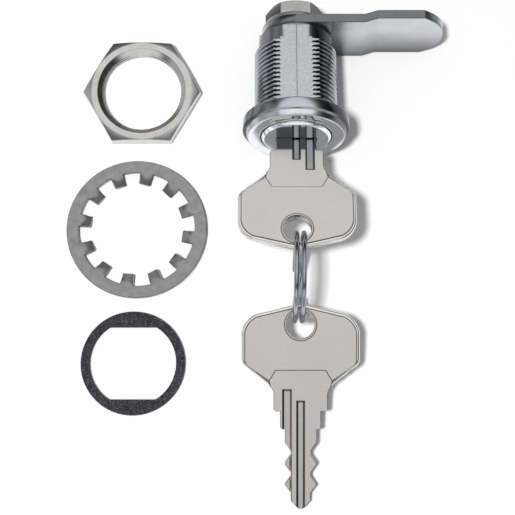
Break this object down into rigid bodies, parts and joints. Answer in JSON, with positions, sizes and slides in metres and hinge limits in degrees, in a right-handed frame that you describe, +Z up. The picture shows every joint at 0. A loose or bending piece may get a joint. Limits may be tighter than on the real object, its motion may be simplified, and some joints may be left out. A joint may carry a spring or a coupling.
{
  "type": "mailbox lock",
  "caption": "Cam lock for a mailbox or locker door with two flat keys on a split ring, joggled cam, panel nut, toothed lock washer and foam gasket.",
  "frame": {"origin": "on the table, under the middle of the bounding box of everything as it lies", "axes": "+Z up from the table, +Y from the spare key's tip towards the cam nut, +X from the loose washers towards the cam's tip"},
  "size_m": [0.0878, 0.1162, 0.0245],
  "materials": {
    "chrome": "polished chrome plate over die-cast zinc",
    "zinc_steel": "satin zinc plate",
    "nickel": "nickel plate, semi-bright",
    "key_nickel": "satin nickel plate",
    "steel_wire": "bright drawn wire",
    "plain_steel": "plain spring steel",
    "brass": "plain",
    "foam": "closed-cell foam"
  },
  "bodies": {
    "housing_body": {"housing": "chrome"},
    "plug_body": {"plug": "chrome", "stop_washer": "zinc_steel", "cam": "zinc_steel", "cam_spring_washer": "plain_steel", "cam_nut": "nickel", "wafer_spring_1": "steel_wire", "wafer_spring_2": "steel_wire", "wafer_spring_3": "steel_wire", "wafer_spring_4": "steel_wire", "wafer_spring_5": "steel_wire"},
    "main_key_body": {"main_key": "key_nickel"},
    "ring_body": {"split_ring": "steel_wire"},
    "spare_key_body": {"spare_key": "key_nickel"},
    "panel_nut_body": {"panel_nut": "nickel"},
    "lock_washer_body": {"panel_lock_washer": "plain_steel"},
    "gasket_body": {"panel_gasket": "foam"},
    "wafer_1_body": {"wafer_1": "brass"},
    "wafer_2_body": {"wafer_2": "brass"},
    "wafer_3_body": {"wafer_3": "brass"},
    "wafer_4_body": {"wafer_4": "brass"},
    "wafer_5_body": {"wafer_5": "brass"}
  },
  "joints": [
    {"name": "plug_turn", "type": "hinge", "parent": "housing_body", "child": "plug_body", "pos_m": [0.0093, 0.02898, 0.01205], "axis": [0, -0.9839, 0.1785], "range_deg": [0, 90]},
    {"name": "key_slide", "type": "slide", "parent": "plug_body", "child": "main_key_body", "axis": [0, 0.9839, -0.1785], "range_m": [-0.03, 0]},
    {"name": "ring_swing", "type": "hinge", "parent": "main_key_body", "child": "ring_body", "pos_m": [0.0093, 0.00156, 0.01703], "axis": [1, 0, 0], "range_deg": [-45, 3]},
    {"name": "spare_key_swing", "type": "hinge", "parent": "ring_body", "child": "spare_key_body", "pos_m": [0.0098, -0.01662, 0.00972], "axis": [1, 0, 0], "range_deg": [-10, 25]},
    {"name": "wafer_1_slide", "type": "slide", "parent": "plug_body", "child": "wafer_1_body", "axis": [1, 0, 0], "range_m": [0, 0.001]},
    {"name": "wafer_2_slide", "type": "slide", "parent": "plug_body", "child": "wafer_2_body", "axis": [-1, 0, 0], "range_m": [0, 0.001]},
    {"name": "wafer_3_slide", "type": "slide", "parent": "plug_body", "child": "wafer_3_body", "axis": [1, 0, 0], "range_m": [0, 0.001]},
    {"name": "wafer_4_slide", "type": "slide", "parent": "plug_body", "child": "wafer_4_body", "axis": [-1, 0, 0], "range_m": [0, 0.001]},
    {"name": "wafer_5_slide", "type": "slide", "parent": "plug_body", "child": "wafer_5_body", "axis": [1, 0, 0], "range_m": [0, 0.001]},
    {"name": "panel_nut_lift", "type": "slide", "parent": "housing_body", "child": "panel_nut_body", "axis": [0, 0, 1], "range_m": [0, 0.03]},
    {"name": "lock_washer_lift", "type": "slide", "parent": "housing_body", "child": "lock_washer_body", "axis": [0, 0, 1], "range_m": [0, 0.03]},
    {"name": "gasket_lift", "type": "slide", "parent": "housing_body", "child": "gasket_body", "axis": [0, 0, 1], "range_m": [0, 0.03]}
  ],
  "couplings": [
    {"joint": "wafer_1_slide", "follows": "key_slide", "ratio": -0.0333},
    {"joint": "wafer_2_slide", "follows": "key_slide", "ratio": -0.0333},
    {"joint": "wafer_3_slide", "follows": "key_slide", "ratio": -0.0333},
    {"joint": "wafer_4_slide", "follows": "key_slide", "ratio": -0.0333},
    {"joint": "wafer_5_slide", "follows": "key_slide", "ratio": -0.0333}
  ]
}
